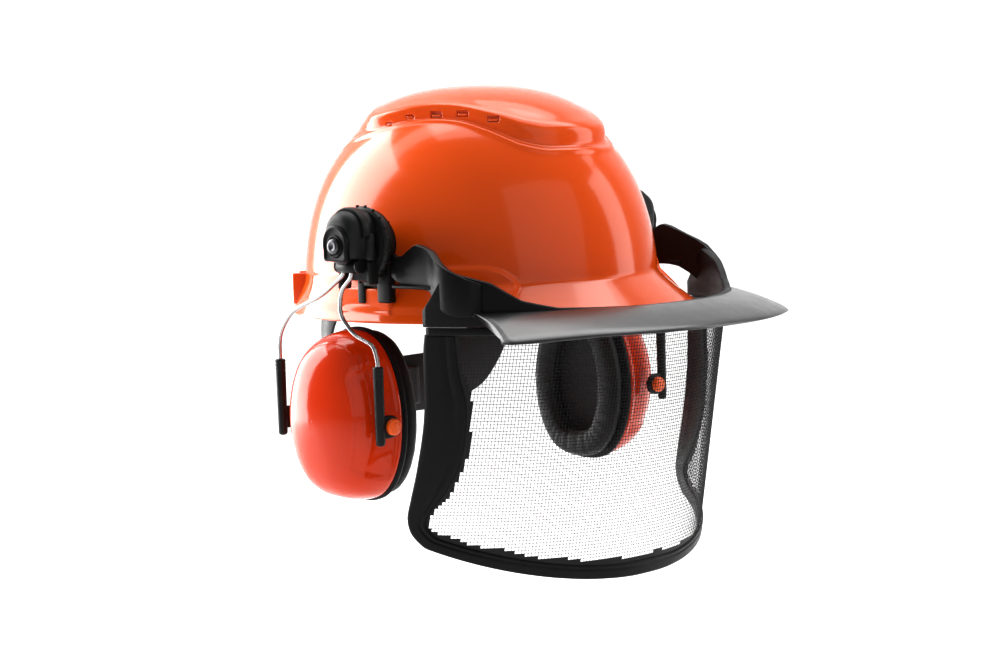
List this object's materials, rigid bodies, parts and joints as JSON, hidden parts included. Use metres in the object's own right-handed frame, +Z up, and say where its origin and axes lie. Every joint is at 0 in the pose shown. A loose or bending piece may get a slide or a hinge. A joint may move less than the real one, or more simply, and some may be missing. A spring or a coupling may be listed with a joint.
{
  "type": "forestry safety helmet",
  "caption": "Vented safety helmet with head suspension, a lift-up mesh visor with sun peak, and ear muffs on sprung wire arms.",
  "frame": {"origin": "centre of the head opening, on the level of the shell's lower edge, where the wearer's head holds the helmet", "axes": "+Z up, -Y towards the front of the helmet, +X towards the wearer's left"},
  "size_m": [0.2744, 0.331, 0.2899],
  "materials": {
    "shell_orange": "high gloss",
    "cup_orange": "high gloss",
    "button_orange": "gloss",
    "black_plastic": "satin",
    "peak_black": "smooth satin",
    "mesh_black": "fine woven mesh",
    "sleeve_black": "matt",
    "cushion_black": "soft vinyl, satin",
    "foam_grey": "open foam",
    "webbing": "woven webbing",
    "band_plastic": "satin",
    "sweat_pad": "perforated brow pad",
    "wire_steel": "polished spring wire",
    "screw_steel": "dark screw head"
  },
  "bodies": {
    "helmet": {"shell": "shell_orange", "headband": "band_plastic", "sweatband": "sweat_pad", "crown_strap_long": "webbing", "crown_strap_cross_a": "webbing", "crown_strap_cross_b": "webbing", "suspension_clips": "band_plastic", "crown_pad": "sweat_pad", "adapter_right": "black_plastic", "hub_spacer_right": "black_plastic", "hub_screw_right": "screw_steel", "adapter_left": "black_plastic", "hub_spacer_left": "black_plastic", "hub_screw_left": "screw_steel"},
    "nape": {"nape_band": "band_plastic", "nape_pad": "sweat_pad", "ratchet_housing": "black_plastic"},
    "knob": {"ratchet_knob": "black_plastic"},
    "visor": {"visor_carrier": "black_plastic", "visor_hub_right": "black_plastic", "visor_hub_left": "black_plastic", "sun_peak": "peak_black", "carrier_rivets": "screw_steel", "mesh_clamp": "black_plastic", "visor_frame": "black_plastic", "visor_mesh": "mesh_black"},
    "arm_hub_right": {"arm_hub_right": "black_plastic", "hub_badge_right": "black_plastic"},
    "arm_right": {"arm_knuckle_right": "black_plastic", "spring_wires_right": "wire_steel"},
    "yoke_right": {"sleeve_front_right": "sleeve_black", "sleeve_rear_right": "sleeve_black", "pivot_buttons_right": "button_orange"},
    "cup_right": {"cup_shell_right": "cup_orange", "backplate_right": "black_plastic", "cushion_right": "cushion_black", "cup_foam_right": "foam_grey"},
    "arm_hub_left": {"arm_hub_left": "black_plastic", "hub_badge_left": "black_plastic"},
    "arm_left": {"arm_knuckle_left": "black_plastic", "spring_wires_left": "wire_steel"},
    "yoke_left": {"sleeve_front_left": "sleeve_black", "sleeve_rear_left": "sleeve_black", "pivot_buttons_left": "button_orange"},
    "cup_left": {"cup_shell_left": "cup_orange", "backplate_left": "black_plastic", "cushion_left": "cushion_black", "cup_foam_left": "foam_grey"}
  },
  "joints": [
    {"name": "visor_lift", "type": "hinge", "parent": "helmet", "child": "visor", "pos_m": [0, -0.02, 0.046], "axis": [-1, 0, 0], "range_deg": [0, 95]},
    {"name": "nape_slide", "type": "slide", "parent": "helmet", "child": "nape", "axis": [0, -1, 0], "range_m": [0, 0.018]},
    {"name": "knob_turn", "type": "hinge", "parent": "nape", "child": "knob", "pos_m": [0, 0.117, -0.058], "axis": [0, -1, 0], "range_deg": [0, 150]},
    {"name": "arm_turn_right", "type": "hinge", "parent": "helmet", "child": "arm_hub_right", "pos_m": [-0.124, -0.02, 0.046], "axis": [1, 0, 0], "range_deg": [-5, 6]},
    {"name": "arm_swing_right", "type": "hinge", "parent": "arm_hub_right", "child": "arm_right", "pos_m": [-0.1236, -0.02, 0.034], "axis": [0, 1, 0], "range_deg": [0, 28]},
    {"name": "cup_height_right", "type": "slide", "parent": "arm_right", "child": "yoke_right", "axis": [0, 0, -1], "range_m": [0, 0.02]},
    {"name": "cup_tilt_right", "type": "hinge", "parent": "yoke_right", "child": "cup_right", "pos_m": [-0.1162, 0.003, -0.059], "axis": [0, 1, 0], "range_deg": [-8, 8]},
    {"name": "arm_turn_left", "type": "hinge", "parent": "helmet", "child": "arm_hub_left", "pos_m": [0.124, -0.02, 0.046], "axis": [1, 0, 0], "range_deg": [-5, 6]},
    {"name": "arm_swing_left", "type": "hinge", "parent": "arm_hub_left", "child": "arm_left", "pos_m": [0.1236, -0.02, 0.034], "axis": [0, -1, 0], "range_deg": [0, 28]},
    {"name": "cup_height_left", "type": "slide", "parent": "arm_left", "child": "yoke_left", "axis": [0, 0, -1], "range_m": [0, 0.02]},
    {"name": "cup_tilt_left", "type": "hinge", "parent": "yoke_left", "child": "cup_left", "pos_m": [0.1162, 0.003, -0.059], "axis": [0, 1, 0], "range_deg": [-8, 8]}
  ],
  "couplings": [
    {"joint": "knob_turn", "follows": "nape_slide", "rad_per_m": 140}
  ]
}
